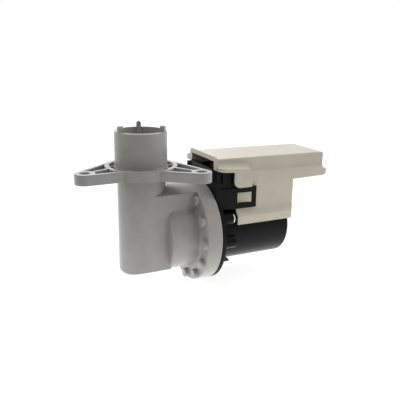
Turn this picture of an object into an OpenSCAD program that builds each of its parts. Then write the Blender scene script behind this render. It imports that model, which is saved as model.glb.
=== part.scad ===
// Washer drain pump: a moulded pump housing with inlet pipe, mounting plate and outlet spigot,
// a synchronous motor with its rotor in a closed well, and a channel cover over the coils.
// Millimetres. +X runs along the motor from the inlet, +Y to the outlet side, +Z up.
// The origin is the middle of the inlet pipe at the top face of the mounting plate.

/* [Inlet pipe] */
// outside diameter of the inlet pipe
inlet_d = 40; // [39.6:0.1:40.4]
// height of the inlet rim above the mounting face
inlet_rise = 26.4; // [24:0.2:30]
// wall of the inlet pipe
inlet_wall = 2.4; // [2:0.1:2.8]
// how far the guide ribs stand above the rim
rib_rise = 4.5; // [3:0.5:6]
// plan angle of the first guide rib
rib_turn = 75; // [60:1:90]

/* [Mounting plate] */
// thickness of the mounting plate
plate_t = 7.6; // [6.6:0.2:8.6]
// distance between the two ear holes
ear_span = 83.6; // [82:0.2:85]
// diameter of the ear holes
ear_hole_d = 7.8; // [6:0.2:8.2]
// plan angle of the line through the ear holes
ear_turn = -18.4; // [-20:0.2:-17]
// distance of that line in front of the pipe axis
ear_offset = 26.6; // [26:0.2:27.2]
// outside radius of the ring around the pipe
ring_r = 27.7; // [27.3:0.1:28.3]

/* [Pump housing] */
// depth of the motor axis below the mounting face
axis_drop = 57.4; // [56.6:0.2:58.4]
// outside diameter of the sump pipe below the plate
sump_d = 36.8; // [36.6:0.1:37.4]
// outside diameter of the drum around the impeller
drum_d = 57.4; // [57:0.2:58]
// diameter of the flange
flange_d = 81.2; // [81:0.1:81.8]
// thickness of the flange
flange_t = 12.45; // [12:0.15:13.05]

/* [Outlet] */
// outside diameter of the outlet spigot
outlet_d = 22; // [21.4:0.1:22.4]
// bore of the outlet spigot
outlet_bore = 17; // [16:0.2:17.6]
// how far the outlet spigot reaches from the motor axis
outlet_reach = 62; // [58:1:66]

/* [Impeller] */
// outside diameter of the impeller vanes
impeller_d = 46; // [42:1:48]
// number of vanes
vane_count = 6; // [5:1:8]
// free turn of the impeller each way from the middle
play_deg = 100; // [90:1:104]

/* [Motor] */
// shaft diameter
shaft_d = 4; // [3.8:0.1:4.2]
// outside diameter of the rotor magnet
magnet_d = 24.4; // [23.6:0.2:24.8]
// outside diameter of the motor can
can_d = 54.4; // [54.2:0.1:54.8]
// where the motor can ends
can_end = 119.8; // [118.8:0.2:120]
// length of the pole stack along the motor
stack_len = 24; // [22:0.5:24.5]

/* [Cover] */
// height of the cover roof above the motor axis
roof_up = 60.9; // [60.7:0.1:62]
// half width of the cover roof
roof_half = 21.6; // [21.5:0.1:22]
// where the roof ends beyond the motor
roof_end = 154.3; // [150:0.5:156]
// wall thickness of the cover
cover_wall = 1.8; // [1.6:0.1:1.8]

/* [Hidden] */
$fn = 72;

// colours
housing_grey = [0.60, 0.585, 0.57];
cover_beige = [0.80, 0.785, 0.72];
motor_black = [0.09, 0.09, 0.095];
rubber_black = [0.05, 0.05, 0.05];
steel = [0.75, 0.75, 0.77];
carbon = [0.20, 0.20, 0.21];
nylon = [0.93, 0.91, 0.86];
ferrite = [0.22, 0.21, 0.21];
lamination = [0.45, 0.46, 0.48];
enamel_copper = [0.72, 0.36, 0.16];
tin = [0.80, 0.79, 0.74];

// clearances
seat = 0.05;      // between pieces that sit in one another
run = 0.05;       // radial, between the shaft and what turns on it
apart = 0.3;      // between neighbours that only face one another
bite = 0.5;       // how far shapes of one piece reach into one another

// inlet pipe and sump
axis_z = -axis_drop;
inlet_r = inlet_d / 2;
bore_r = inlet_r - inlet_wall;
rim_round = inlet_wall / 2;
rib_w = 3.5;
rib_in = bore_r - 1.3;
rib_out = inlet_r - 0.3;
rib_low = -6;
foot_step = 0.5;
foot_top = -0.4;
sump_r = sump_d / 2;
sump_wall = 2.6;
sump_bore_r = sump_r - sump_wall;
sump_drop = 27.6;
sump_low = axis_z - sump_drop;
sump_fillet = 3;
crown_r = 50;
funnel_top = -4;
funnel_low = -14;

// mounting plate
ear_r = 7.6;
ear_shift = 1.25;
front_r = 18.7;
rim_w = 2.9;
web_w = 2.6;
web_aim = 7;
pocket_deep = 5.4;
groove_r = 24.3;
groove_rib_w = 1.6;
groove_rib_count = 12;
groove_rib_turn = 15;
overlap = 0.05;

// neck, drum and flange
neck_half = sump_r - 0.4;
neck_low = sump_low + 0.1;
neck_stop = 17;
way_corner = 12;
drum_r = drum_d / 2;
drum_x = 15.3;
drum_fillet = 3;
root_fillet = 2.6;
flange_r = flange_d / 2;
flange_x = 38.3;
flange_end = flange_x + flange_t;
flange_edge = 0.8;
seam_edge = 0.6;
neck_r = flange_r - 0.25;
bump_r = 3.7;
bump_h = 3.2;
bump_edge = 0.5;
bump_circle = flange_r - bump_r - bump_edge;
bump_count = 10;
bump_from = 125;
bump_step = 28.3;

// water ways
suction_r = 15.2;
eye_r = 12.6;
eye_x = 19.4;
chamber_x = 22;
chamber_r = drum_r - 2.9;
screw_reach = 7.4;
screw_circle = can_d / 2 + screw_reach;
spigot_deep = 4;
spigot_rest = 4.9;
spigot_r = screw_circle - spigot_rest;
seal_thick = 1.9;
seal_gap = 0.15;
seal_circle = spigot_r + 0.4 + seal_thick / 2;

// outlet
outlet_x = 29;
outlet_up = 29.1;
outlet_r = outlet_d / 2;
outlet_root = 4;
duct_root = -8;
collar_y = 40;
collar_t = 2.2;
collar_r = outlet_r + 2.4;
lead_in = 1.2;
grip_w = 1.2;
grip_deep = 0.5;
grip_count = 2;

// screws
screw_r = 1.75;
screw_angles = [153, 183, 333, 3];
screw_len = 19;
screw_room = 0.25;
pilot_rest = 1;
head_r = 4;
head_h = 2.9;
head_edge = 0.8;
dome_r = 5.2;
slot_len = 4;
slot_w = 1;
slot_deep = 1.4;
seat_high = 62.8;
seat_deep = 60.3;
boss_r = 4.5;
deep_boss_r = 5.1;
deep_boss_x = 63.4;

// motor plate
barb_angle = 205;
barb_t = 1.4;
barb_reach = 4.9;
barb_wide = 5.8;
disc_x = flange_end;
disc_t = 3.2;
disc_end = disc_x + disc_t;
disc_r = flange_r - 0.15;
shaft_r = shaft_d / 2;
well_r = magnet_d / 2 + 0.8;
well_wall = 1.8;
well_out = well_r + well_wall;
core_mid = 92;
magnet_len = stack_len + 3;
magnet_x = core_mid - magnet_len / 2;
magnet_end = core_mid + magnet_len / 2;
tail_room = 8;
well_in_end = magnet_end + tail_room;
well_end = well_in_end + 1.7;
plug_x = disc_x - spigot_deep + 0.2;
plug_flange_t = 1.5;
plug_flange_r = well_r + 3;

// bracket beside the coils, heights above the motor axis
wall_x = disc_x + 0.2;
wall_end = disc_end - 0.05;
bar_top = 53.4;
bar_half = 19.4;
post_r = 3;
panel_half = can_d / 2 - 2.2;
side_out = panel_half + 2;
side_in = side_out - 4.4;
post_x = 52;
post_y = side_in;
post_low = 43.8;
post_top = 51.9;
side_rear = 69.8;
side_low = 21.4;
block_low = 23.9;
block_top = 38.4;
upper_out = side_out - 1.5;
upper_top = 50.6;
loop_in = panel_half + apart;
loop_end = 86.9;
loop_low = 21.4;
loop_top = 38.4;
window_x = 69.8;
window_end = 82.8;
window_low = 25.5;
window_top = 34.4;
slot_x = 55.3;
slot_end = 57;
slot_low = 43;
slot_top = 50;
slot_in = upper_out - 1.6;

// motor can
can_r = can_d / 2;
can_wall = 1.5;
can_x = disc_end + seat;
can_round = 2.4;
can_open_x = 72.4;
can_open_end = 111.6;
can_open_low = 16.7;

// cover, heights above the motor axis
tilt_x = 91;
roof_tilt = 0.7;
round_out = 1.3;
round_in = 3.5;
end_round = 1.5;
lip_round = 2.8;
foot_cut = 8;
cover_x = 52;
wall_low = 49.8;
lip_top = 46.7;
lip_low = 40.7;
lip_end = roof_end + 1.7;
lip_rise = 0.9;
lip_slant = 1;
panel_x = side_rear + apart;
panel_end = 123;
panel_low = 18.9;
step_half = can_d / 2 + 1.4;
step_top = 15.4;
step_low = 8.4;
step_end = 120.6;
short_low = 52.3;
far_low = 50.2;
band_w = 1.6;
band_h = 1.8;
ledge_x = 53;
ledge_end = 81.5;
ledge_out = side_out + 2.2;
ledge_corner = 5;
ledge_hollow = 4.5;
ledge_top = 55;
ledge_t = 2.7;
ledge_fall = 4.4;
ledge_from = 54;
tab_x = 66;
tab_in = side_out + apart;
tab_low = 38.8;
tab_round = 5;
catch_x = 71.7;
catch_out = side_out - 0.1;

// impeller and drive
hub_x = 27;
hub_end = 45.6;
hub_r = 9.4;
cup_r = 7.4;
cup_floor = 40;
cap_t = 1.8;
cap_plug = 1.4;
back_disc_t = 2;
vane_t = 2;
vane_x = 28.5;
lug_in = 4.3;
lug_deg = 56;
dog_r = 3.8;
dog_out = 6.8;
dog_x = 30;
dog_end = 39.5;
damper_t = 1;
damper_deg = 360 - lug_deg - 2 * play_deg - 2 * 4;
lobe_deg = damper_deg - 2 * 12;

// rotor
shaft_x = 29.2;
shaft_end = well_in_end - 0.7;
sleeve_r = 5.5;
sleeve_hub_r = 4;
sleeve_flange_r = magnet_d / 2 - 0.4;
sleeve_flange_t = 1.6;
rear_len = 3.2;
rear_floor = 0.3;
rear_x = well_in_end - rear_len - rear_floor - 2 * seat;
sleeve_x = 69.8;
sleeve_end = rear_x - 2 * apart;

// bearings and seal
bearing_r = 5;
bearing_len = 9;
bearing_x = 60.2;
plug_end = 69.4;
seal_r = 6.4;
seal_x = plug_x + 0.4;
seal_len = 4.2;

// pole stack, heights above the motor axis
stack_x = core_mid - stack_len / 2;
stack_end = core_mid + stack_len / 2;
pole_bore_r = well_out + apart;
pole_out_r = can_r - can_wall - 0.4;
pole_half = 21;
pole_low = 17;
pole_top = 16.6;
bridge = 1.3;
leg_in = 7.5;
leg_out = 16.5;
leg_top = 45.4;
yoke_top = 53.5;

// coils, heights above the motor axis
spool_wall = 1.2;
spool_low = pole_top + apart;
spool_top = 44;
spool_out = panel_half - 2.4;
spool_in = 1.4;
spool_over = 6;
spool_x = stack_x - spool_over;
spool_end = stack_end + spool_over;
wire_inset = 0.6;

// electrical parts, heights above the motor axis
header_x = spool_end + apart;
header_solid = 11.7;
header_len = 30.7;
header_base_end = header_x + header_solid;
header_end = header_x + header_len;
header_half = 13;
header_low = 45.2;
header_top = 55.4;
header_wall = 1.5;
tongue_len = 5.3;
tongue_x = header_x - tongue_len;
header_foot = 4;
tongue_t = 1;
blade_half = 3.15;
blade_t = 0.8;
blade_y = 6;
blade_root = 2.7;
blade_rest = 3;
blade_x = header_x + blade_root;
blade_end = header_end - blade_rest;
blade_up = 50.3;
blade_hole_back = 4;
blade_hole_r = 0.8;
cutout_len = 13;
cutout_up = 33;
lead_len = 6;
lead_r = 0.5;

// a shape turned about the motor axis, drawn as radius and x
module turned() {
  translate([0, 0, axis_z]) rotate([0, 90, 0]) rotate_extrude() children();
}

// a ring of that drawing between two radii and two x
module band(r0, r1, x0, x1) {
  translate([r0, x0]) square([r1 - r0, x1 - x0]);
}

// something placed round the motor axis at an angle from +Y towards +Z, its own z along +X
module around(angle, radius, x) {
  translate([x, radius * cos(angle), axis_z + radius * sin(angle)]) rotate([0, 90, 0]) children();
}

// a bar along X, drawn as y and height above the motor axis
module along_x(x0, x1) {
  translate([x0, 0, axis_z]) rotate([90, 0, 90]) linear_extrude(height = x1 - x0) children();
}

// a plate across Y, drawn as x and height above the motor axis
module across_y(y0, y1) {
  translate([0, y1, axis_z]) rotate([90, 0, 0]) linear_extrude(height = y1 - y0) children();
}

// a box by its two corners, heights above the motor axis
module block(x0, x1, y0, y1, h0, h1) {
  translate([x0, y0, axis_z + h0]) cube([x1 - x0, y1 - y0, h1 - h0]);
}

// a flat rectangle by its two corners
module flat(x0, x1, y0, y1) {
  translate([x0, y0]) square([x1 - x0, y1 - y0]);
}

// a slice of a circle between two angles, for angles under 180 degrees apart
module slice(radius, from, to) {
  middle = (from + to) / 2;
  reach = 2 * radius;
  intersection() {
    circle(r = radius);
    polygon([[0, 0], [reach * cos(from), reach * sin(from)], [reach * cos(middle), reach * sin(middle)],
             [reach * cos(to), reach * sin(to)]]);
  }
}

// the same on both sides of the motor
module both_sides() {
  children();
  mirror([0, 1, 0]) children();
}

// plate outline: where a line touches the circle round the pipe and the circle of an ear
function ear_at(side) = [ear_shift + side * ear_span / 2, -ear_offset];
function lean(side, big) = acos((big - ear_r) / norm(ear_at(side)));
function toward(side) = atan2(ear_at(side)[1], ear_at(side)[0]);
function back_angle(side) = toward(side) + side * lean(side, ring_r);
function front_angle(side) = toward(side) - side * lean(side, front_r);
function spot(center, radius, angle) = center + radius * [cos(angle), sin(angle)];

module wing(side, inset) {
  back = back_angle(side);
  front = front_angle(side);
  polygon([[0, 0], spot([0, 0], ring_r - inset, back), spot(ear_at(side), ear_r - inset, back),
           spot(ear_at(side), ear_r - inset, front), spot([0, 0], front_r - inset, front)]);
}

module plate_outline() {
  circle(r = ring_r);
  for (side = [-1, 1]) {
    wing(side, overlap);
    translate(ear_at(side)) circle(r = ear_r);
  }
}

// the web that splits the pocket of a wing
module web(side) {
  run_in = spot([0, 0], ring_r, toward(side) + side * web_aim);
  step = (ear_at(side) - run_in) / norm(ear_at(side) - run_in);
  across = [-step[1], step[0]] * web_w / 2;
  polygon([run_in - step * 3 + across, ear_at(side) + across, ear_at(side) - across,
           run_in - step * 3 - across]);
}

module wing_pockets() {
  for (side = [-1, 1]) difference() {
    wing(side, rim_w);
    circle(r = ring_r);
    translate(ear_at(side)) circle(r = ear_r);
    web(side);
  }
}

module mounting_plate() {
  rotate([0, 0, ear_turn]) difference() {
    translate([0, 0, -plate_t]) linear_extrude(height = plate_t) plate_outline();
    translate([0, 0, -pocket_deep]) linear_extrude(height = pocket_deep + bite) wing_pockets();
    translate([0, 0, -pocket_deep]) linear_extrude(height = pocket_deep + bite) difference() {
      circle(r = groove_r);
      circle(r = inlet_r - bite);
    }
    for (side = [-1, 1]) translate([ear_at(side)[0], ear_at(side)[1], -plate_t - bite])
      cylinder(r = ear_hole_d / 2, h = plate_t + 2 * bite);
  }
  for (k = [0 : groove_rib_count - 1])
    rotate([0, 0, groove_rib_turn + k * 360 / groove_rib_count])
      translate([inlet_r - bite, -groove_rib_w / 2, -pocket_deep - bite])
        cube([groove_r - inlet_r + 2 * bite, groove_rib_w, pocket_deep]);
}

module pipe_outside() {
  rotate_extrude() {
    flat(0, inlet_r + foot_step, -plate_t, foot_top);
    flat(0, inlet_r, -plate_t, inlet_rise - rim_round);
    flat(0, inlet_r - rim_round, -plate_t, inlet_rise);
    translate([inlet_r - rim_round, inlet_rise - rim_round]) circle(r = rim_round);
  }
}

// a channel with straight sides and a round bottom, drawn as y and height above the motor axis
module trough(half, low, corner, top) {
  flat(-half, half, low + corner, top);
  flat(-half + corner, half - corner, low, top);
  for (side = [-1, 1]) translate([side * (half - corner), low + corner]) circle(r = corner);
}

// upright walls over a floor that is slightly arched across, drawn as y and height above the motor axis
module crowned(half, low, top) {
  intersection() {
    translate([0, low + crown_r]) circle(r = crown_r);
    flat(-half, half, low - bite, top);
  }
}

module sump_outside() {
  intersection() {
    rotate_extrude() {
      flat(0, sump_r, sump_low + sump_fillet, -plate_t + bite);
      flat(0, sump_r - sump_fillet, sump_low - overlap, -plate_t);
      translate([sump_r - sump_fillet, sump_low + sump_fillet - overlap]) circle(r = sump_fillet);
    }
    along_x(-sump_r - bite, sump_r + bite) crowned(sump_r + bite, sump_low - axis_z, axis_drop);
  }
}

module pipe_inside() {
  rotate_extrude() polygon([[0, inlet_rise + bite], [bore_r, inlet_rise + bite], [bore_r, funnel_top],
                            [sump_bore_r, funnel_low], [0, funnel_low]]);
  intersection() {
    rotate_extrude() flat(0, sump_bore_r, sump_low + sump_wall - overlap, funnel_low + bite);
    along_x(-sump_r, sump_r)
      trough(sump_bore_r + bite, sump_low - axis_z + sump_wall, way_corner, axis_drop);
  }
}

module guide_ribs() {
  for (k = [0 : 2]) rotate([0, 0, rib_turn + 120 * k])
    translate([rib_in, 0, 0]) rotate([90, 0, 90]) linear_extrude(height = rib_out - rib_in) {
      flat(-rib_w / 2, rib_w / 2, rib_low, inlet_rise + rib_rise - rib_w / 2);
      translate([0, inlet_rise + rib_rise - rib_w / 2]) circle(r = rib_w / 2);
    }
}

// the neck keeps its full floor up to the drum and stays inside the drum from there on
module neck() {
  difference() {
    along_x(0, flange_x + bite) intersection() {
      circle(r = neck_r);
      crowned(neck_half, neck_low - axis_z, neck_r);
    }
    intersection() {
      turned() band(drum_r - bite, neck_r + bite, neck_stop, flange_x + 2 * bite);
      block(neck_stop - bite, flange_x + 2 * bite, -neck_half - bite, neck_half + bite, -neck_r, -bite);
    }
  }
}

module drum_and_flange() {
  turned() {
    band(0, drum_r - drum_fillet, drum_x, flange_x + bite);
    band(0, drum_r, drum_x + drum_fillet, flange_x + bite);
    translate([drum_r - drum_fillet, drum_x + drum_fillet]) circle(r = drum_fillet);
    difference() {
      band(drum_r - bite, drum_r + root_fillet, flange_x - root_fillet, flange_x + bite);
      translate([drum_r + root_fillet, flange_x - root_fillet]) circle(r = root_fillet);
    }
    band(0, flange_r, flange_x + flange_edge, flange_end - seam_edge);
    band(0, flange_r - flange_edge, flange_x, flange_end - seam_edge);
    translate([flange_r - flange_edge, flange_x + flange_edge]) circle(r = flange_edge);
    band(0, flange_r - seam_edge, flange_x + flange_edge, flange_end);
    translate([flange_r - seam_edge, flange_end - seam_edge]) circle(r = seam_edge);
  }
}

module flange_bumps() {
  for (k = [0 : bump_count - 1]) around(bump_from + k * bump_step, bump_circle, flange_x - bump_h) {
    cylinder(r1 = bump_r - bump_edge, r2 = bump_r, h = bump_edge);
    translate([0, 0, bump_edge]) cylinder(r = bump_r, h = bump_h);
  }
}

module outlet_turned() {
  translate([outlet_x, 0, axis_z + outlet_up]) rotate([-90, 0, 0]) rotate_extrude() children();
}

module outlet_outside() {
  straight = outlet_reach - lead_in;
  outlet_turned() difference() {
    union() {
      band(0, outlet_r, outlet_root, straight);
      band(0, collar_r, collar_y, collar_y + collar_t);
      polygon([[0, straight - bite], [outlet_r, straight], [outlet_r - lead_in, outlet_reach],
               [0, outlet_reach]]);
    }
    for (k = [1 : grip_count])
      band(outlet_r - grip_deep, outlet_r + bite, straight - 2 * k * grip_w, straight - (2 * k - 1) * grip_w);
  }
}

module water_ways() {
  along_x(0, eye_x) {
    circle(r = suction_r);
    trough(suction_r, neck_low - axis_z + sump_wall, way_corner - sump_bore_r + suction_r, bite);
  }
  turned() {
    band(0, eye_r, 0, chamber_x + bite);
    band(0, chamber_r, chamber_x, flange_end + bite);
    band(0, spigot_r + apart, flange_end - spigot_deep - apart, flange_end + bite);
    band(0, seal_circle + seal_thick / 2 + seal_gap, flange_end - seal_thick - 2 * seal_gap,
         flange_end + bite);
  }
  outlet_turned() band(0, outlet_bore / 2, duct_root, outlet_reach + bite);
}

module pump_housing() {
  color(housing_grey) {
    difference() {
      union() {
        pipe_outside();
        sump_outside();
        mounting_plate();
        neck();
        drum_and_flange();
        flange_bumps();
        outlet_outside();
      }
      pipe_inside();
      water_ways();
      for (angle = screw_angles) around(angle, screw_circle, seat_x(angle) - screw_len - pilot_rest)
        cylinder(r = screw_r + seat, h = flange_end);
    }
    guide_ribs();
  }
}

module housing_seal() {
  color(rubber_black) turned()
    translate([seal_circle, flange_end - seal_thick / 2 - seal_gap]) circle(r = seal_thick / 2);
}

// flat view of the wall that carries the bracket
module end_wall_outline() {
  flat(-bar_half, bar_half, 0, bar_top);
  flat(-post_y, post_y, 0, post_top);
  flat(-side_out, side_out, side_low, post_low);
}

module snap_loop() {
  across_y(-side_out, -loop_in) difference() {
    flat(side_rear - bite, loop_end, loop_low, loop_top);
    flat(window_x, window_end, window_low, window_top);
  }
}

module side_bracket() {
  across_y(-side_out, -side_in) flat(wall_x, side_rear, block_low, block_top);
  across_y(-side_out + 0.6, -side_in) flat(wall_x, side_rear, side_low, upper_top);
  translate([post_x, -post_y, axis_z + post_low]) cylinder(r = post_r, h = post_top - post_low);
}

// the two screws beside the motor axis sit in deep bosses
function is_deep(angle) = abs(sin(angle)) < 0.2;
function seat_x(angle) = is_deep(angle) ? seat_deep : seat_high;

module plate_bosses() {
  for (angle = screw_angles) around(angle, screw_circle, disc_end - bite) if (is_deep(angle))
    cylinder(r = deep_boss_r, h = deep_boss_x - disc_end + bite);
  else
    cylinder(r = boss_r, h = seat_high - disc_end + bite);
}

module boss_holes() {
  for (angle = screw_angles) {
    around(angle, screw_circle, disc_x - bite) cylinder(r = screw_r + screw_room, h = deep_boss_x);
    around(angle, screw_circle, seat_x(angle)) cylinder(r = head_r + apart, h = deep_boss_x);
  }
}

// a pointed tooth on the rim of the disc, drawn as x and the way round the rim
module plate_barb() {
  translate([0, 0, axis_z]) rotate([barb_angle, 0, 0]) translate([0, disc_r - apart, 0]) rotate([90, 0, 0])
    linear_extrude(height = barb_t)
      polygon([[disc_end - bite, 0.3], [disc_end + barb_reach, 0], [disc_end - bite, -barb_wide]]);
}

module motor_plate() {
  color(motor_black) difference() {
    union() {
      turned() {
        band(0, disc_r, disc_x, disc_end);
        band(0, spigot_r, disc_x - spigot_deep, disc_end);
        band(0, well_out, disc_x, well_end);
      }
      along_x(wall_x, wall_end) end_wall_outline();
      both_sides() {
        side_bracket();
        snap_loop();
      }
      plate_bosses();
      plate_barb();
    }
    turned() {
      band(0, plug_flange_r + seat, disc_x - spigot_deep - bite, plug_x + plug_flange_t + seat);
      band(0, well_r, disc_x - spigot_deep, well_in_end);
    }
    boss_holes();
    both_sides() {
      block(wall_end + 0.2, side_rear + bite, -side_out - bite, -upper_out, block_top + 0.3,
            upper_top + bite);
      block(slot_x, slot_end, -upper_out - bite, -slot_in, slot_low, slot_top);
    }
  }
}

module motor_can() {
  color(motor_black) difference() {
    turned() difference() {
      union() {
        band(0, can_r, can_x, can_end - can_round);
        band(0, can_r - can_round, can_x, can_end);
        translate([can_r - can_round, can_end - can_round]) circle(r = can_round);
      }
      band(0, can_r - can_wall, can_x - bite, can_end - can_wall);
    }
    block(can_open_x, can_open_end, -can_r, can_r, can_open_low, can_r + bite);
  }
}

// half section of the cover with a flat foot that is cut away later
module cover_outline() {
  foot = step_low - foot_cut;
  offset(r = -round_in) offset(r = round_in + round_out) offset(r = -round_out)
    polygon([[roof_half, roof_up], [roof_half, wall_low], [panel_half, lip_top], [panel_half, panel_low],
             [step_half, step_top], [step_half, foot], [-step_half, foot], [-step_half, step_top],
             [-panel_half, panel_low], [-panel_half, lip_top], [-roof_half, wall_low],
             [-roof_half, roof_up]]);
}

module cover_section(low, high) {
  intersection() {
    difference() {
      cover_outline();
      offset(delta = -cover_wall) cover_outline();
    }
    flat(-step_half - bite, step_half + bite, low, high);
  }
}

// turned by the small fall of the roof towards its far end
module falling(angle, x, up) {
  translate([x, 0, axis_z + up]) rotate([0, angle, 0]) translate([-x, 0, -axis_z - up]) children();
}

// side view of the roof and its lips, drawn as x and height
module roof_side() {
  end_low = lip_low + lip_slant;
  flat(panel_x, roof_end, end_low + lip_round, roof_up - end_round);
  flat(panel_x, roof_end - end_round, end_low + lip_round, roof_up + bite);
  translate([roof_end - end_round, roof_up - end_round]) circle(r = end_round);
  flat(panel_x, lip_end, end_low + lip_round, lip_top + lip_rise);
  translate([lip_end - lip_round, end_low + lip_round]) circle(r = lip_round);
  polygon([[panel_x, lip_low], [panel_end, lip_low], [lip_end - lip_round, end_low],
           [lip_end - lip_round, end_low + lip_round + bite], [panel_x, end_low + lip_round + bite]]);
}

// the ledge's section with a hollow up to the wall, drawn as y and height
module ledge_section() {
  flat(-ledge_out, -roof_half + cover_wall / 2, ledge_top - ledge_t, ledge_top);
  difference() {
    flat(-roof_half - ledge_hollow, -roof_half + cover_wall / 2, ledge_top - bite, ledge_top + ledge_hollow);
    translate([-roof_half - ledge_hollow, ledge_top + ledge_hollow]) circle(r = ledge_hollow);
  }
}

// the raised rim at the open end; on the near side it stops where the ledge's corner begins
module cover_rim() {
  intersection() {
    difference() {
      offset(r = band_h) union() {
        cover_outline();
        ledge_section();
        mirror([1, 0]) ledge_section();
      }
      offset(delta = -cover_wall) cover_outline();
    }
    flat(-ledge_out + ledge_corner, ledge_out, ledge_top - ledge_t, roof_up + 2 * band_h);
  }
}

module cover_roof() {
  falling(roof_tilt, tilt_x, roof_up) {
    along_x(cover_x, panel_x + bite) cover_section(short_low, roof_up + bite);
    along_x(post_x + post_r + apart, panel_x + bite) intersection() {
      cover_section(far_low, short_low + bite);
      flat(0, step_half, far_low, short_low + bite);
    }
    intersection() {
      along_x(panel_x, lip_end) cover_section(lip_low, roof_up + bite);
      across_y(-step_half, step_half) roof_side();
    }
    along_x(cover_x, cover_x + band_w) cover_rim();
  }
}

// the two side panels, cut back a little where they step out at the bottom
module cover_sides() {
  intersection() {
    along_x(panel_x, panel_end) cover_section(step_low, lip_low + 2);
    across_y(-step_half - bite, step_half + bite)
      polygon([[panel_x - bite, step_low - bite], [step_end, step_low - bite], [step_end, step_top],
               [panel_end + bite, panel_low], [panel_end + bite, lip_low + 3], [panel_x - bite, lip_low + 3]]);
  }
}

// plan view of the ledge with its rounded free corner
module ledge_plan() {
  flat(ledge_x + ledge_corner, ledge_end, -ledge_out, -roof_half + cover_wall / 2);
  flat(ledge_x, ledge_end, -ledge_out + ledge_corner, -roof_half + cover_wall / 2);
  translate([ledge_x + ledge_corner, -ledge_out + ledge_corner]) circle(r = ledge_corner);
}

module cover_ledge() {
  falling(ledge_fall, ledge_from, ledge_top) intersection() {
    along_x(ledge_x, ledge_end) ledge_section();
    translate([0, 0, axis_z + ledge_top - ledge_t - bite])
      linear_extrude(height = ledge_t + ledge_hollow + 2 * bite) ledge_plan();
  }
}

module cover_tab() {
  across_y(-ledge_out, -tab_in) {
    flat(tab_x, ledge_end, tab_low + tab_round, short_low - 0.4);
    flat(tab_x + tab_round, ledge_end, tab_low, short_low - 0.4);
    translate([tab_x + tab_round, tab_low + tab_round]) circle(r = tab_round);
  }
}

module cover_catch() {
  translate([0, 0, axis_z + window_low + apart]) linear_extrude(height = window_top - window_low - 2 * apart)
    polygon([[catch_x, -panel_half + 0.4], [catch_x, -panel_half], [window_end - apart, -catch_out],
             [window_end - apart, -panel_half + 0.4]]);
}

module motor_cover() {
  color(cover_beige) {
    cover_roof();
    cover_sides();
    both_sides() {
      cover_ledge();
      cover_tab();
      cover_catch();
    }
  }
}

// a screw with its head's underside at height 0, its shank pointing down
module screw() {
  translate([0, 0, -screw_len]) cylinder(r = screw_r, h = screw_len + bite);
  difference() {
    rotate_extrude() {
      flat(0, head_r, 0, head_edge);
      intersection() {
        translate([0, head_h - dome_r]) circle(r = dome_r);
        flat(0, head_r, head_edge - overlap, head_h + bite);
      }
    }
    for (turn = [45, 135]) rotate([0, 0, turn]) translate([-slot_len / 2, -slot_w / 2, head_h - slot_deep])
      cube([slot_len, slot_w, head_h]);
  }
}

module motor_screws() {
  color(steel) for (angle = screw_angles) around(angle, screw_circle, seat_x(angle)) screw();
}

// one vane, drawn as radius and x
module vane(angle) {
  translate([0, 0, axis_z]) rotate([angle, 0, 0]) rotate([0, 90, 0]) translate([0, vane_t / 2, 0])
    rotate([90, 0, 0]) linear_extrude(height = vane_t)
      polygon([[hub_r - 1, vane_x], [hub_r + 3, vane_x], [impeller_d / 2, vane_x + 4.5],
               [impeller_d / 2, hub_end - 0.4], [hub_r - 1, hub_end - 0.4]]);
}

module impeller() {
  color(nylon) {
    difference() {
      union() {
        turned() {
          band(0, hub_r, hub_x, hub_end);
          band(0, impeller_d / 2 - 3, hub_end - back_disc_t, hub_end);
        }
        for (k = [0 : vane_count - 1]) vane(30 + k * 360 / vane_count);
      }
      turned() {
        band(0, cup_r, hub_x - bite, cup_floor);
        band(0, shaft_r + run, cup_floor - bite, hub_end + bite);
      }
    }
    along_x(hub_x + cap_plug + apart, cup_floor + bite) difference() {
      slice(cup_r + bite, -lug_deg / 2, lug_deg / 2);
      circle(r = lug_in);
    }
  }
}

module impeller_cap() {
  color(nylon) turned() {
    band(0, hub_r - 0.8, hub_x - cap_t - seat, hub_x - seat);
    band(0, hub_r, hub_x - cap_t + 0.8 - seat, hub_x - seat);
    translate([hub_r - 0.8, hub_x - cap_t + 0.8 - seat]) circle(r = 0.8);
    band(0, cup_r - seat, hub_x - cap_t, hub_x + cap_plug);
  }
}

module drive_dog() {
  color(nylon) along_x(dog_x, dog_end) difference() {
    union() {
      circle(r = dog_r);
      slice(dog_out, 180 - lobe_deg / 2, 180 + lobe_deg / 2);
    }
    circle(r = shaft_r + seat / 2);
  }
}

module dog_damper() {
  color(rubber_black) along_x(dog_x + 0.3, dog_end - 0.3) for (side = [-1, 1]) difference() {
    slice(dog_out, 180 + side * (lobe_deg / 2 + 6.2) - 5.8, 180 + side * (lobe_deg / 2 + 6.2) + 5.8);
    circle(r = dog_r + seat);
  }
}

module rotor_shaft() {
  color(steel) turned() {
    band(0, shaft_r, shaft_x, shaft_end - 0.4);
    polygon([[0, shaft_end - 0.5], [shaft_r, shaft_end - 0.4], [shaft_r - 0.4, shaft_end], [0, shaft_end]]);
  }
}

module rotor_sleeve() {
  color(nylon) turned() difference() {
    union() {
      band(0, sleeve_hub_r, sleeve_x, sleeve_end);
      band(0, sleeve_flange_r, magnet_x - sleeve_flange_t - seat, magnet_x - seat);
      band(0, sleeve_flange_r, magnet_end + seat, magnet_end + sleeve_flange_t + seat);
      band(0, sleeve_r, magnet_x - bite, magnet_end + bite);
    }
    band(0, shaft_r + seat / 2, sleeve_x - bite, sleeve_end + bite);
  }
}

module rotor_magnet() {
  color(ferrite) turned() band(sleeve_r + seat, magnet_d / 2, magnet_x, magnet_end);
}

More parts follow.
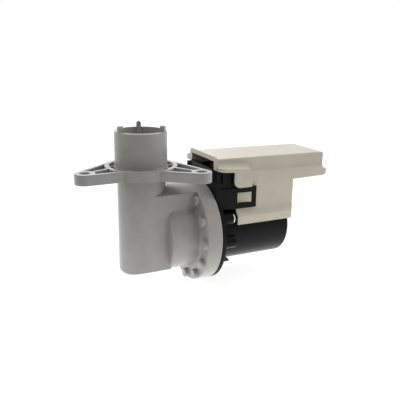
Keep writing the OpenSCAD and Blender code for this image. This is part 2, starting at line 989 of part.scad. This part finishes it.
module front_bearing_holder() {
  color(rubber_black) turned() difference() {
    union() {
      band(0, plug_flange_r, plug_x, plug_x + plug_flange_t);
      band(0, well_r - seat, plug_x, plug_end);
    }
    band(0, seal_r + seat, plug_x - bite, seal_x + seal_len + seat);
    band(0, shaft_r + 0.8, plug_x, plug_end + bite);
    band(0, bearing_r + seat, bearing_x - seat, plug_end + bite);
  }
}

module shaft_seal() {
  color(rubber_black) turned() difference() {
    band(0, seal_r, seal_x, seal_x + seal_len);
    band(0, shaft_r + run, seal_x - bite, seal_x + seal_len + bite);
    band(shaft_r + 0.9, seal_r - 0.9, seal_x - bite, seal_x + seal_len - 1.2);
  }
}

module front_bearing() {
  color(carbon) turned() band(shaft_r + run, bearing_r, bearing_x, bearing_x + bearing_len);
}

module rear_bearing_holder() {
  color(rubber_black) turned() difference() {
    band(0, well_r - seat, rear_x, well_in_end - seat);
    band(0, bearing_r + seat, rear_x - bite, rear_x + rear_len + seat);
    band(0, shaft_r + 0.8, rear_x, well_in_end + bite);
  }
}

module rear_bearing() {
  color(carbon) turned() band(shaft_r + run, bearing_r, rear_x, rear_x + rear_len);
}

module pole_core() {
  color(lamination) along_x(stack_x, stack_end) difference() {
    union() {
      intersection() {
        circle(r = pole_out_r);
        flat(-pole_half, pole_half, -pole_low, pole_top);
      }
      for (side = [-1, 1])
        flat(min(side * leg_in, side * leg_out), max(side * leg_in, side * leg_out), 0, leg_top);
    }
    circle(r = pole_bore_r);
    flat(-leg_in, leg_in, pole_bore_r + bridge, leg_top + bite);
  }
}

module core_yoke() {
  color(lamination) block(stack_x, stack_end, -leg_out, leg_out, leg_top + seat, yoke_top);
}

// plan view of a coil former round the leg on the far side
module leg_plan(grow) {
  flat(stack_x - grow, stack_end + grow, leg_in - grow, leg_out + grow);
}

module coil_bobbin() {
  tube = apart + spool_wall;
  difference() {
    translate([0, 0, axis_z + spool_low]) linear_extrude(height = spool_top - spool_low) leg_plan(tube);
    translate([0, 0, axis_z]) linear_extrude(height = 2 * spool_top) leg_plan(apart);
  }
  for (low = [spool_low, spool_top - spool_wall]) translate([0, 0, axis_z + low])
    linear_extrude(height = spool_wall) difference() {
      flat(spool_x, spool_end, spool_in, spool_out);
      leg_plan(apart + bite);
    }
}

module coil_winding() {
  corner = 3;
  x0 = spool_x + wire_inset;
  x1 = spool_end - wire_inset;
  y0 = spool_in + wire_inset;
  y1 = spool_out - wire_inset;
  translate([0, 0, axis_z + spool_low + spool_wall + seat])
    linear_extrude(height = spool_top - spool_low - 2 * spool_wall - 2 * seat) difference() {
      union() {
        flat(x0 + corner, x1 - corner, y0, y1);
        flat(x0, x1, y0 + corner, y1 - corner);
        for (x = [x0 + corner, x1 - corner]) for (y = [y0 + corner, y1 - corner]) translate([x, y])
          circle(r = corner);
      }
      leg_plan(apart + spool_wall + seat);
    }
}

module coil_bobbin_front() {
  color(nylon) mirror([0, 1, 0]) coil_bobbin();
}

module coil_bobbin_back() {
  color(nylon) coil_bobbin();
}

module winding_front() {
  color(enamel_copper) mirror([0, 1, 0]) coil_winding();
}

module winding_back() {
  color(enamel_copper) coil_winding();
}

module terminal_header() {
  color(nylon) difference() {
    union() {
      block(header_x, header_end, -header_half, header_half, header_low, header_top);
      block(tongue_x, header_x + bite, -header_half, header_half, spool_top + apart,
            spool_top + apart + tongue_t);
      block(header_x, header_x + header_foot, -header_half, header_half, spool_top + apart,
            header_low + bite);
    }
    block(header_base_end, header_end + bite, -header_half + header_wall, header_half - header_wall,
          header_low + header_wall, header_top - header_wall);
    for (side = [-1, 1]) block(blade_x - seat, header_base_end + bite, side * blade_y - blade_half - seat,
                               side * blade_y + blade_half + seat, blade_up - blade_t / 2 - seat,
                               blade_up + blade_t / 2 + seat);
  }
}

module terminal_blades() {
  color(tin) for (side = [-1, 1]) difference() {
    block(blade_x, blade_end, side * blade_y - blade_half, side * blade_y + blade_half,
          blade_up - blade_t / 2, blade_up + blade_t / 2);
    translate([blade_end - blade_hole_back, side * blade_y, axis_z + blade_up - blade_t])
      cylinder(r = blade_hole_r, h = 2 * blade_t);
  }
}

module thermal_cutout() {
  body_r = spool_in + wire_inset - apart;
  color(nylon) translate([core_mid - cutout_len / 2, 0, axis_z + cutout_up]) rotate([0, 90, 0]) {
    cylinder(r = body_r, h = cutout_len);
    translate([0, 0, -lead_len]) cylinder(r = lead_r, h = cutout_len + 2 * lead_len);
  }
}

pump_housing();
housing_seal();
motor_plate();
motor_can();
motor_cover();
motor_screws();
impeller();
impeller_cap();
drive_dog();
dog_damper();
rotor_shaft();
rotor_sleeve();
rotor_magnet();
shaft_seal();
front_bearing_holder();
front_bearing();
rear_bearing();
rear_bearing_holder();
pole_core();
core_yoke();
coil_bobbin_front();
coil_bobbin_back();
winding_front();
winding_back();
terminal_header();
terminal_blades();
thermal_cutout();
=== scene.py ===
# %% [markdown]
# # A washer drain pump
# The CAD model of this pump is already packed: every moulding, screw and motor piece is a solid of its
# true size. This notebook dresses it. It sets the camera where the photographer stood, gives each piece a
# procedural finish, and lights the pump as a white table in a white tent does.

# %% Load the pump
from math import cos, pi, radians, sin

import bpy
from mathutils import Matrix, Vector


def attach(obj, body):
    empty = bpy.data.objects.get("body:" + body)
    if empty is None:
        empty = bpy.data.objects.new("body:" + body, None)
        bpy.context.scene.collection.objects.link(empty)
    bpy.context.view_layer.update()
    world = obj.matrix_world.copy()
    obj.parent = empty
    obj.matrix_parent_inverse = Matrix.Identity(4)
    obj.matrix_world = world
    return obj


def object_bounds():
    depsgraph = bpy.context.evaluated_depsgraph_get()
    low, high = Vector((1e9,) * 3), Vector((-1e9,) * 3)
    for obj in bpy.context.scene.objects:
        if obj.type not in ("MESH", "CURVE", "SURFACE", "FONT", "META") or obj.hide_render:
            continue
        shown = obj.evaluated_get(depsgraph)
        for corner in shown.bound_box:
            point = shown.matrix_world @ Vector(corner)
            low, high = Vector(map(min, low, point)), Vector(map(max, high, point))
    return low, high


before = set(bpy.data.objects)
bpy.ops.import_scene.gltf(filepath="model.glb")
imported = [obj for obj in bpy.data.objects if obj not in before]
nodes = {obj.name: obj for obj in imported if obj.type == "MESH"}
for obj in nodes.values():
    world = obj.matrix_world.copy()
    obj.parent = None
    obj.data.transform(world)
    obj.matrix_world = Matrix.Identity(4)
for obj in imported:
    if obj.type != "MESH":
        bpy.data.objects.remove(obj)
cad_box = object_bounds()

# %% [markdown]
# ## The photographer's place
# The pump was photographed from its inlet end, a little from above, with a lens of about 51 mm. A camera
# could be pushed about until the picture looks right. This place was worked out from the ellipses and
# long edges of the photo, which is surer. Yaw, pitch and roll turn the camera, and a distance of 46 cm
# from a point in the pump sets the perspective: close enough for the near ear of the plate to look
# bigger than the far lip of the cover. The two shifts slide the picture by a few pixels, because the
# photo was cropped off centre.

# %% Camera
AIM = Vector((0.04741, 0.0, -0.03454))
DISTANCE = 0.45961
YAW = radians(-25.67)
PITCH = radians(16.0)
ROLL = radians(0.72)
SENSOR_MM = 36.0
LENS_MM = 50.88
SHIFT_RIGHT = 0.008
SHIFT_UP = 0.0037
NEAREST = 0.01

back = Vector((sin(YAW) * cos(PITCH), -cos(YAW) * cos(PITCH), sin(PITCH)))
level = Vector((cos(YAW), sin(YAW), 0.0))
upright = back.cross(level)
right = level * cos(ROLL) + upright * sin(ROLL)
up = upright * cos(ROLL) - level * sin(ROLL)
turned = Matrix((right, up, back)).transposed().to_4x4()

camera_data = bpy.data.cameras.new("photo_camera")
camera_data.sensor_width = SENSOR_MM
camera_data.lens = LENS_MM
camera_data.shift_x = SHIFT_RIGHT
camera_data.shift_y = SHIFT_UP
camera_data.clip_start = NEAREST
camera = bpy.data.objects.new("photo_camera", camera_data)
bpy.context.collection.objects.link(camera)
camera.matrix_world = Matrix.Translation(AIM + back * DISTANCE) @ turned
bpy.context.scene.camera = camera
print("camera stands at", [round(v, 4) for v in camera.matrix_world.translation])

# %% [markdown]
# ## Helpers for nodes
# A finish is a small chain of nodes: coordinates, a pattern or two, and the Principled shader. The chain
# could be wired by hand in the shader editor. These helpers draw the same wires in one line each, and a
# reader can follow them. Object coordinates are used throughout, so a pattern stays on its piece when
# the rotor turns, and a size in a pattern can be thought of in millimetres.

# %% Node helpers
MM = 0.001


def finish_named(name):
    """A new material, its node tree and its Principled shader."""
    material = bpy.data.materials.new(name)
    material.use_nodes = True
    return material, material.node_tree, material.node_tree.nodes["Principled BSDF"]


def add(tree, kind, **settings):
    """A node of a kind, with properties or input defaults set by name."""
    node = tree.nodes.new(kind)
    for key, value in settings.items():
        if hasattr(node, key):
            setattr(node, key, value)
        else:
            node.inputs[key.replace("_", " ")].default_value = value
    return node


def feed(tree, socket, value):
    """Links another node's output to a socket, or writes a plain number into it."""
    if isinstance(value, bpy.types.NodeSocket):
        tree.links.new(value, socket)
    else:
        socket.default_value = value


def worked_out(tree, operation, *values):
    """What a Math node makes of its values, which are numbers or outputs."""
    node = add(tree, "ShaderNodeMath", operation=operation)
    for socket, value in zip(node.inputs, values):
        feed(tree, socket, value)
    return node.outputs[0]


def carried(tree, value, start, end, low, high, **settings):
    """A value that runs from start to end, carried over to the range from low to high."""
    node = add(tree, "ShaderNodeMapRange", **settings)
    names = ("Value", "From Min", "From Max", "To Min", "To Max")
    for name, given in zip(names, (value, start, end, low, high)):
        feed(tree, node.inputs[name], given)
    return node.outputs["Result"]


def on_piece(tree):
    """Coordinates in metres that stay on the piece."""
    return add(tree, "ShaderNodeTexCoord").outputs["Object"]


def along(tree, axis):
    """The part of those coordinates along X, Y or Z."""
    split = add(tree, "ShaderNodeSeparateXYZ")
    tree.links.new(on_piece(tree), split.inputs["Vector"])
    return split.outputs[axis]


print("node helpers ready")

# %% [markdown]
# ## Helpers for patterns
# Shade, shine and surface of a real moulding all wander a little. Painted images could carry that, but
# they need files and unwrapped meshes. Noise needs neither, and its size can be set in millimetres.
# Its values mostly lie between 0.3 and 0.7, so they are spread out before they are used.
# Two more patterns are needed: streaks, which are a noise squeezed more along one axis than another, and
# layers, which are a sine along an axis.

# %% Pattern helpers
NOISE_LOW = 0.3
NOISE_HIGH = 0.7


def grain(tree, size_mm, detail=3.0, seed=0.0):
    """Noise whose blotches are about size_mm across."""
    noise = add(tree, "ShaderNodeTexNoise", noise_dimensions="4D", Scale=1.0 / (size_mm * MM),
                Detail=detail, W=seed)
    tree.links.new(on_piece(tree), noise.inputs["Vector"])
    return noise.outputs[0]


def spread(tree, noise, low, high):
    """Stretches a noise onto low to high."""
    return carried(tree, noise, NOISE_LOW, NOISE_HIGH, low, high)


def streaked(tree, blotches_per_metre):
    """Noise with its own scale along each axis, which draws blotches out into streaks."""
    squeeze = add(tree, "ShaderNodeMapping", Scale=blotches_per_metre)
    tree.links.new(on_piece(tree), squeeze.inputs["Vector"])
    noise = add(tree, "ShaderNodeTexNoise", Scale=1.0, Detail=2.0)
    tree.links.new(squeeze.outputs["Vector"], noise.inputs["Vector"])
    return noise.outputs[0]


def layered(tree, axis, thickness, noise=None, stray=0.0):
    """A wave from 0 to 1 and back for each layer along an axis; a noise can bend the layers."""
    turns = worked_out(tree, "MULTIPLY", along(tree, axis), 2 * pi / thickness)
    if noise is not None:
        turns = worked_out(tree, "MULTIPLY_ADD", noise, stray, turns)
    return worked_out(tree, "MULTIPLY_ADD", worked_out(tree, "SINE", turns), 0.5, 0.5)


print("pattern helpers ready")

# %% [markdown]
# ## Helpers for finishes
# Most finishes have the same three parts: a colour between two near shades, a roughness in a narrow
# range, and a shallow relief. Relief this fine would cost millions of faces as geometry, so it is a bump.
# Real edges are never knife sharp either. The Bevel node softens them in the shading alone, and leaves
# the CAD meshes as they are. The last helper puts a finish on CAD pieces by name.

# %% Finish helpers
EDGE_SAMPLES = 6


def tinted(tree, shader, value, dark, light):
    """Base colour between two shades, as the value says."""
    mix = add(tree, "ShaderNodeMix", data_type="RGBA", A=(*dark, 1.0), B=(*light, 1.0))
    tree.links.new(value, mix.inputs["Factor"])
    tree.links.new(mix.outputs["Result"], shader.inputs["Base Color"])


def mottled(tree, shader, noise, dark, light):
    """Base colour that wanders between two near shades."""
    tinted(tree, shader, spread(tree, noise, 0.0, 1.0), dark, light)


def roughened(tree, shader, noise, low, high):
    """Roughness that wanders from low to high."""
    tree.links.new(spread(tree, noise, low, high), shader.inputs["Roughness"])


def bumped(tree, shader, value, depth_mm, strength=1.0, edge_mm=0.0, below=None):
    """Relief of a given depth, on softened edges (edge_mm) or on an earlier relief (below)."""
    bump = add(tree, "ShaderNodeBump", Strength=strength, Distance=depth_mm * MM)
    tree.links.new(value, bump.inputs["Height"])
    if below is not None:
        tree.links.new(below.outputs["Normal"], bump.inputs["Normal"])
    elif edge_mm:
        edge = add(tree, "ShaderNodeBevel", samples=EDGE_SAMPLES, Radius=edge_mm * MM)
        tree.links.new(edge.outputs["Normal"], bump.inputs["Normal"])
    tree.links.new(bump.outputs["Normal"], shader.inputs["Normal"])
    return bump


def wear(finish, *node_names):
    """Gives CAD nodes a finish in their own material slots."""
    for node_name in node_names:
        slots = nodes[node_name].material_slots
        if not slots:
            nodes[node_name].data.materials.append(finish)
        for slot in slots:
            slot.material = finish
    print(finish.name, "on", ", ".join(node_names))


print("finish helpers ready")

# %% [markdown]
# ## Grey moulded housing
# Inlet pipe, plate, neck, drum and flange are one filled nylon moulding. It is a warm mid grey with a
# satin shine, a faint mottle from the filler and a fine spark-eroded grain. Above the plate the pipe
# also carries very shallow rings left by the turned mould, about 2 mm apart. Rings could be cut into the
# mesh, but they are only hundredths of a millimetre deep, so they are a wave along Z on top of the
# grain. The wave fades in over the first 2 mm above the plate.

# %% Grey nylon
RING_SCALE = 140.0
RING_WAVER = 0.4
RING_WAVER_SCALE = 60.0
RINGS_FULL_AT = 2 * MM

grey, tree, shader = finish_named("grey_filled_nylon")
shader.inputs["Specular IOR Level"].default_value = 0.4
mottled(tree, shader, grain(tree, 9.0, detail=4.0), dark=(0.310, 0.292, 0.278), light=(0.350, 0.331, 0.316))
roughened(tree, shader, grain(tree, 2.5, seed=4.0), low=0.29, high=0.40)
skin = bumped(tree, shader, grain(tree, 0.6, detail=2.0, seed=7.0), depth_mm=0.012, edge_mm=1.3)
rings = add(tree, "ShaderNodeTexWave", wave_type="BANDS", bands_direction="Z", Scale=RING_SCALE,
            Distortion=RING_WAVER, Detail_Scale=RING_WAVER_SCALE)
tree.links.new(on_piece(tree), rings.inputs["Vector"])
above_plate = carried(tree, along(tree, "Z"), 0.0, RINGS_FULL_AT, 0.0, 1.0)
ring_relief = worked_out(tree, "MULTIPLY", rings.outputs["Fac"], above_plate)
bumped(tree, shader, ring_relief, depth_mm=0.035, below=skin)
wear(grey, "pump_housing")

# %% [markdown]
# ## Beige cover
# The channel over the coils is a satin, slightly warm polyester. Its grain is finer than the housing's,
# and broad, very weak waves run along it where the plastic flowed. They could be modelled as dents, but
# streaks squeezed across the cover give the same soft shimmer. The shade is pale, so the light has to
# stay low enough that the roof keeps a tone of its own.

# %% Beige polyester
beige, tree, shader = finish_named("beige_polyester")
shader.inputs["Specular IOR Level"].default_value = 0.42
mottled(tree, shader, grain(tree, 14.0, seed=2.0), dark=(0.488, 0.451, 0.362), light=(0.528, 0.489, 0.396))
roughened(tree, shader, grain(tree, 3.0, seed=5.0), low=0.30, high=0.42)
skin = bumped(tree, shader, grain(tree, 0.35, detail=2.0, seed=8.0), depth_mm=0.02, edge_mm=0.35)
bumped(tree, shader, streaked(tree, (12.0, 160.0, 160.0)), depth_mm=0.06, strength=0.5, below=skin)
wear(beige, "motor_cover")

# %% [markdown]
# ## Black motor mouldings
# The motor plate and the can are black glass-filled plastic. Black shows its shape only through soft
# reflections, so roughness matters more than colour: about a third, wandering a little, over a fine
# grain. A clear coat could give the shine, but it would shine everywhere. Instead the shine of faces
# seen straight on is held low, because the white table would turn the black into grey, and it still
# grows along the can's lower edge, where the view is flat.

# %% Black glass-filled plastic
black, tree, shader = finish_named("black_filled_plastic")
shader.inputs["Specular IOR Level"].default_value = 0.1
mottled(tree, shader, grain(tree, 6.0, seed=1.0), dark=(0.003, 0.003, 0.003), light=(0.006, 0.006, 0.0065))
roughened(tree, shader, grain(tree, 2.0, seed=6.0), low=0.29, high=0.40)
bumped(tree, shader, grain(tree, 0.4, detail=2.0, seed=3.0), depth_mm=0.03, edge_mm=0.5)
wear(black, "motor_plate", "motor_can")

# %% [markdown]
# ## Knurled rim
# The rim of the black disc is knurled for grip. A bump would leave its outline smooth, and cutting 200
# notches into the CAD solid would be slow. So the teeth are a ring of their own, laid over the smooth
# rim of the CAD disc. In section each tooth is a small roof, and both of its ends slope down into the rim.
# The ring is closed all round, and its inner wall lies hidden in the disc.

# %% Knurled ring
MOTOR_AXIS_Z = -57.4 * MM
RIM_TEETH = 200
RIM_START = 51.3 * MM
RIM_END = 53.6 * MM
RIM_HIDDEN = 40.1 * MM
RIM_VALLEY = 40.38 * MM
RIM_CREST = 40.6 * MM
TOOTH_SLOPE = 0.3 * MM
INSIDE, FOOT, RIDGE = range(3)

section = [(RIM_START, INSIDE), (RIM_START, FOOT), (RIM_START + TOOTH_SLOPE, RIDGE),
           (RIM_END - TOOTH_SLOPE, RIDGE), (RIM_END, FOOT), (RIM_END, INSIDE)]
rim_points = []
for step in range(2 * RIM_TEETH):
    angle = pi * step / RIM_TEETH
    radii = (RIM_HIDDEN, RIM_VALLEY, RIM_CREST if step % 2 else RIM_VALLEY)
    for x, part in section:
        rim_points.append((x, radii[part] * cos(angle), MOTOR_AXIS_Z + radii[part] * sin(angle)))
rim_faces = []
for step in range(2 * RIM_TEETH):
    here = step * len(section)
    there = (step + 1) % (2 * RIM_TEETH) * len(section)
    for corner in range(len(section)):
        beside = (corner + 1) % len(section)
        rim_faces.append((here + corner, here + beside, there + beside, there + corner))
rim_mesh = bpy.data.meshes.new("knurled_rim")
rim_mesh.from_pydata(rim_points, [], rim_faces)
rim_mesh.materials.append(black)
rim = bpy.data.objects.new("knurled_rim", rim_mesh)
bpy.context.collection.objects.link(rim)
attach(rim, "pump")
print("knurled rim:", RIM_TEETH, "teeth,", len(rim_faces), "faces")

# %% [markdown]
# ## White mouldings inside
# Impeller, cap, coil formers, sleeve, plug shroud and the cutout's sleeve are natural nylon: a slightly
# yellow white that lets a little light in. A translucent shader could be mixed in for that. A touch of
# the Principled shader's own subsurface does it in one node, and keeps thin vanes from looking chalky.

# %% Natural nylon
natural, tree, shader = finish_named("natural_nylon")
shader.inputs["Subsurface Weight"].default_value = 0.12
shader.inputs["Subsurface Scale"].default_value = 1.5 * MM
mottled(tree, shader, grain(tree, 5.0, seed=3.0), dark=(0.66, 0.63, 0.55), light=(0.72, 0.69, 0.62))
roughened(tree, shader, grain(tree, 1.5, detail=2.0, seed=9.0), low=0.34, high=0.46)
bumped(tree, shader, grain(tree, 0.4, detail=2.0, seed=5.0), depth_mm=0.02, edge_mm=0.3)
wear(natural, "impeller", "impeller_cap", "drive_dog", "rotor_sleeve", "coil_bobbin_front",
     "coil_bobbin_back", "terminal_header", "thermal_cutout")

# %% [markdown]
# ## Rubber
# The housing seal, the shaft seal, the two bearing holders and the damper are soft black rubber. Rubber
# is duller than the plastic beside it and has a dusty bloom. A sheen layer could whiten it at the edges,
# but these pieces lie deep inside, so a high roughness and a colour that drifts between black and a very
# dark grey are enough.

# %% Rubber
rubber, tree, shader = finish_named("seal_rubber")
mottled(tree, shader, grain(tree, 3.0, detail=4.0, seed=6.0), dark=(0.012, 0.012, 0.012),
        light=(0.030, 0.030, 0.031))
roughened(tree, shader, grain(tree, 1.2, seed=2.0), low=0.62, high=0.82)
bumped(tree, shader, grain(tree, 0.3, seed=4.0), depth_mm=0.05)
wear(rubber, "housing_seal", "shaft_seal", "front_bearing_holder", "rear_bearing_holder", "dog_damper")

# %% [markdown]
# ## Bright steel
# The screws are zinc plated and the shaft is ground. Both are metal with a low roughness. An anisotropic
# shine could stand for the fine circular scratches of turning. A noise squeezed hard along X draws the
# scratches themselves, streaking round the piece.

# %% Steel
steel, tree, shader = finish_named("bright_steel")
shader.inputs["Metallic"].default_value = 1.0
mottled(tree, shader, grain(tree, 1.5, detail=2.0, seed=1.0), dark=(0.62, 0.62, 0.63),
        light=(0.74, 0.74, 0.74))
roughened(tree, shader, grain(tree, 0.8, seed=3.0), low=0.16, high=0.26)
bumped(tree, shader, streaked(tree, (6000.0, 300.0, 300.0)), depth_mm=0.01, edge_mm=0.2)
wear(steel, "motor_screws", "rotor_shaft")

# %% [markdown]
# ## Pole stack
# The poles and the yoke are stacks of half-millimetre silicon steel sheets. Dozens of separate
# sheets could be modelled, but only their edges would ever show. The sheets lie across X, so layers
# along X draw those edges, both as relief and as a change between bright and oxide-dark steel.

# %% Laminated steel
SHEET = 0.5 * MM

stack, tree, shader = finish_named("laminated_steel")
shader.inputs["Metallic"].default_value = 0.85
shader.inputs["Roughness"].default_value = 0.45
sheets = layered(tree, "X", SHEET)
tinted(tree, shader, sheets, dark=(0.10, 0.10, 0.11), light=(0.42, 0.43, 0.46))
bumped(tree, shader, sheets, depth_mm=0.12)
wear(stack, "pole_core", "core_yoke")

# %% [markdown]
# ## Coils
# Each coil is a pack of enamelled copper wire, three tenths of a millimetre thick. Real turns could be
# one long curve, but most of it would lie unseen under the cover. The turns lie level round the leg, so
# layers along Z make them, bent a little by noise because no winder is perfect.

# %% Enamelled wire
WIRE = 0.3 * MM
WIRE_STRAY = 5.0

coil, tree, shader = finish_named("enamelled_copper")
shader.inputs["Metallic"].default_value = 0.7
shader.inputs["Coat Weight"].default_value = 0.4
turns = layered(tree, "Z", WIRE, noise=grain(tree, 6.0, seed=2.0), stray=WIRE_STRAY)
tinted(tree, shader, turns, dark=(0.16, 0.05, 0.02), light=(0.50, 0.19, 0.07))
roughened(tree, shader, grain(tree, 1.0, detail=2.0, seed=7.0), low=0.29, high=0.42)
bumped(tree, shader, turns, depth_mm=0.12)
wear(coil, "winding_front", "winding_back")

# %% [markdown]
# ## Magnet, bearings and blades
# Three small finishes are left. The rotor magnet is ground ferrite, a dark brownish grey. The bearings
# are carbon, nearly black with a faint shine. The blades of the plug are tinned brass, pale and bright.
# Each could be a cell of its own, but they differ only in their numbers, so one function makes all three.


# %% Ferrite, carbon and tinned brass
def ground(name, dark, light, metallic, smooth, rough):
    """A fine, even finish from two shades, a share of metal and a range of roughness."""
    material, tree, shader = finish_named(name)
    shader.inputs["Metallic"].default_value = metallic
    mottled(tree, shader, grain(tree, 1.2, detail=4.0, seed=5.0), dark, light)
    roughened(tree, shader, grain(tree, 0.7, seed=8.0), smooth, rough)
    bumped(tree, shader, grain(tree, 0.25, seed=2.0), depth_mm=0.02)
    return material


ferrite = ground("ground_ferrite", dark=(0.030, 0.028, 0.027), light=(0.055, 0.050, 0.048), metallic=0.2,
                 smooth=0.42, rough=0.60)
carbon = ground("bearing_carbon", dark=(0.020, 0.020, 0.021), light=(0.045, 0.045, 0.047), metallic=0.1,
                smooth=0.30, rough=0.45)
brass = ground("tinned_brass", dark=(0.58, 0.56, 0.50), light=(0.70, 0.68, 0.62), metallic=1.0,
               smooth=0.29, rough=0.38)
wear(ferrite, "rotor_magnet")
wear(carbon, "front_bearing", "rear_bearing")
wear(brass, "terminal_blades")

# %% [markdown]
# ## Helpers for light
# The pump stood on a lit white table in a white tent that was open towards the camera. One plain world
# colour could stand for that, but then the picture's white would also light the pump. Light Path tells
# three kinds of ray apart, so each kind can meet a brightness of its own: camera rays, which draw the
# background, mirror and glass rays, and all the rays that light the pump.

# %% Light helpers
OPENING = Vector((-0.66, -0.70, 0.25)).normalized()


def seen_as(tree, by_camera, by_mirror, by_others):
    """A brightness for each kind of ray; each is a number or an output."""
    path = add(tree, "ShaderNodeLightPath")
    mirror_ray = worked_out(tree, "MAXIMUM", path.outputs["Is Glossy Ray"],
                            path.outputs["Is Transmission Ray"])
    unseen = carried(tree, mirror_ray, 0.0, 1.0, by_others, by_mirror)
    return carried(tree, path.outputs["Is Camera Ray"], 0.0, 1.0, unseen, by_camera)


def stepped(tree, value, start, end, low, high):
    """A smooth step from low to high while the value goes from start to end."""
    return carried(tree, value, start, end, low, high, interpolation_type="SMOOTHSTEP")


def measured(tree, operation, place, vector):
    """Distance from a point, or the part of a place along a direction."""
    measure = add(tree, "ShaderNodeVectorMath", operation=operation)
    measure.inputs[1].default_value = vector
    tree.links.new(place, measure.inputs[0])
    return measure.outputs["Value"]


print("the tent is open towards", [round(v, 2) for v in OPENING])

# %% [markdown]
# ## Floor
# A camera ray meets a self-lit white that is just strong enough to be white in the picture, plus a little
# plain card, so that the pump's soft shadow shows. A mirror ray meets the same white, which fades where
# the table ends in front of the picture, or the glow under the pump where that is brighter. Every other
# ray meets only the glow, which lights the pump from below. It is strongest under and behind the pump.
# A lamp below a glass table could do this too, but light through glass is slow and noisy to render.

# %% Floor
FLOOR_Z = cad_box[0][2] - 0.2 * MM
FLOOR_HALF = 3.0
TABLE_WHITE = 0.86
TABLE_CARD = 0.25
TABLE_GLOW = 1.6
GLOW_CENTRE = (0.14, 0.11, FLOOR_Z)
GLOW_CORE = 0.10
GLOW_EDGE = 0.48
TABLE_FRONT = (0.10, 0.35)
FRONT_SEEN = 0.1

floor_mesh = bpy.data.meshes.new("floor")
floor_corners = [(-FLOOR_HALF, -FLOOR_HALF), (FLOOR_HALF, -FLOOR_HALF), (FLOOR_HALF, FLOOR_HALF),
                 (-FLOOR_HALF, FLOOR_HALF)]
floor_mesh.from_pydata([(x, y, FLOOR_Z) for x, y in floor_corners], [], [(0, 1, 2, 3)])
floor = bpy.data.objects.new("floor", floor_mesh)
bpy.context.collection.objects.link(floor)

table, tree, shader = finish_named("white_table")
tree.nodes.remove(shader)
spot = on_piece(tree)
glow = stepped(tree, measured(tree, "DISTANCE", spot, GLOW_CENTRE), GLOW_CORE, GLOW_EDGE, TABLE_GLOW, 0.0)
to_front = measured(tree, "DOT_PRODUCT", spot, (OPENING.x, OPENING.y, 0.0))
fading_white = stepped(tree, to_front, *TABLE_FRONT, 1.0, FRONT_SEEN)
mirror_white = worked_out(tree, "MAXIMUM", fading_white, glow)
lit = add(tree, "ShaderNodeEmission", Color=(1.0, 1.0, 1.0, 1.0))
tree.links.new(seen_as(tree, TABLE_WHITE, mirror_white, glow), lit.inputs["Strength"])
card = add(tree, "ShaderNodeBsdfDiffuse", Color=(TABLE_CARD, TABLE_CARD, TABLE_CARD, 1.0))
both = add(tree, "ShaderNodeAddShader")
tree.links.new(card.outputs[0], both.inputs[0])
tree.links.new(lit.outputs[0], both.inputs[1])
tree.links.new(both.outputs[0], tree.nodes["Material Output"].inputs["Surface"])
floor_mesh.materials.append(table)
print("floor at", round(FLOOR_Z / MM, 1), "mm, lit to", TABLE_WHITE, "and glowing to", TABLE_GLOW)

# %% [markdown]
# ## World
# Most of the light comes from above, from behind and from the right, a little from the left, and hardly
# any from the open front, where the camera stood. That is why the pipe is darkest where it faces the
# camera and grows light towards both of its edges. A photographed sky could be the source, but four
# broad glows are enough. Each has a direction, a power that narrows it, and a level. Camera rays meet
# plain white, and mirror rays meet white with the dark opening.

# %% World
GLOWS = {
    "above": ((0, 0, 1), 2, 1.45),
    "behind": ((0, 1, 0.15), 3, 1.5),
    "right": ((1, 0, 0.15), 3, 2.3),
    "left": ((-1, 0, 0.15), 3, 0.45),
}
OPENING_EDGE = (0.1, 0.8)
OPENING_SEEN = 0.1

world = bpy.data.worlds.new("white_tent")
bpy.context.scene.world = world
world.use_nodes = True
tree = world.node_tree
background = tree.nodes["Background"]
background.inputs["Color"].default_value = (1.0, 1.0, 1.0, 1.0)
ray_direction = add(tree, "ShaderNodeTexCoord").outputs["Generated"]
tent = 0.0
for direction, narrowness, strength in GLOWS.values():
    toward = measured(tree, "DOT_PRODUCT", ray_direction, Vector(direction).normalized())
    facing = worked_out(tree, "MAXIMUM", toward, 0.0)
    narrowed = worked_out(tree, "POWER", facing, narrowness)
    tent = worked_out(tree, "ADD", tent, worked_out(tree, "MULTIPLY", narrowed, strength))
to_opening = measured(tree, "DOT_PRODUCT", ray_direction, OPENING)
mirror_tent = stepped(tree, to_opening, *OPENING_EDGE, 1.0, OPENING_SEEN)
tree.links.new(seen_as(tree, 1.0, mirror_tent, tent), background.inputs["Strength"])
print("world", world.name, "glows from", ", ".join(GLOWS))

# %% [markdown]
# ## Lamps
# Two wide lamps sharpen the forms a little: one behind, whose shine runs along the roof and the pipe's
# rim, and a small one low on the left. Points or spots would be brighter for their size, but they would
# draw hard shadows that a tent never gives.


# %% Lamps
def soft_lamp(name, place, size, power):
    """A square lamp that faces the pump."""
    data = bpy.data.lights.new(name, "AREA")
    data.size = size
    data.energy = power
    lamp = bpy.data.objects.new(name, data)
    bpy.context.collection.objects.link(lamp)
    lamp.location = place
    lamp.rotation_euler = (AIM - Vector(place)).to_track_quat("-Z", "Y").to_euler()
    return lamp


lamps = [
    soft_lamp("behind", place=(0.10, 1.0, 0.45), size=1.0, power=3.0),
    soft_lamp("left", place=(-1.1, 0.2, 0.15), size=0.5, power=1.0),
]
bpy.context.scene.view_settings.view_transform = "Standard"
print("lamps:", ", ".join(lamp.name for lamp in lamps))

# %% [markdown]
# ## The CAD model's box
# The dressed pump must keep the size of the CAD model. That could be judged by eye; here the CAD
# model's box is printed in metres.

# %% Finish
print("box", [[round(v, 4) for v in c] for c in cad_box])
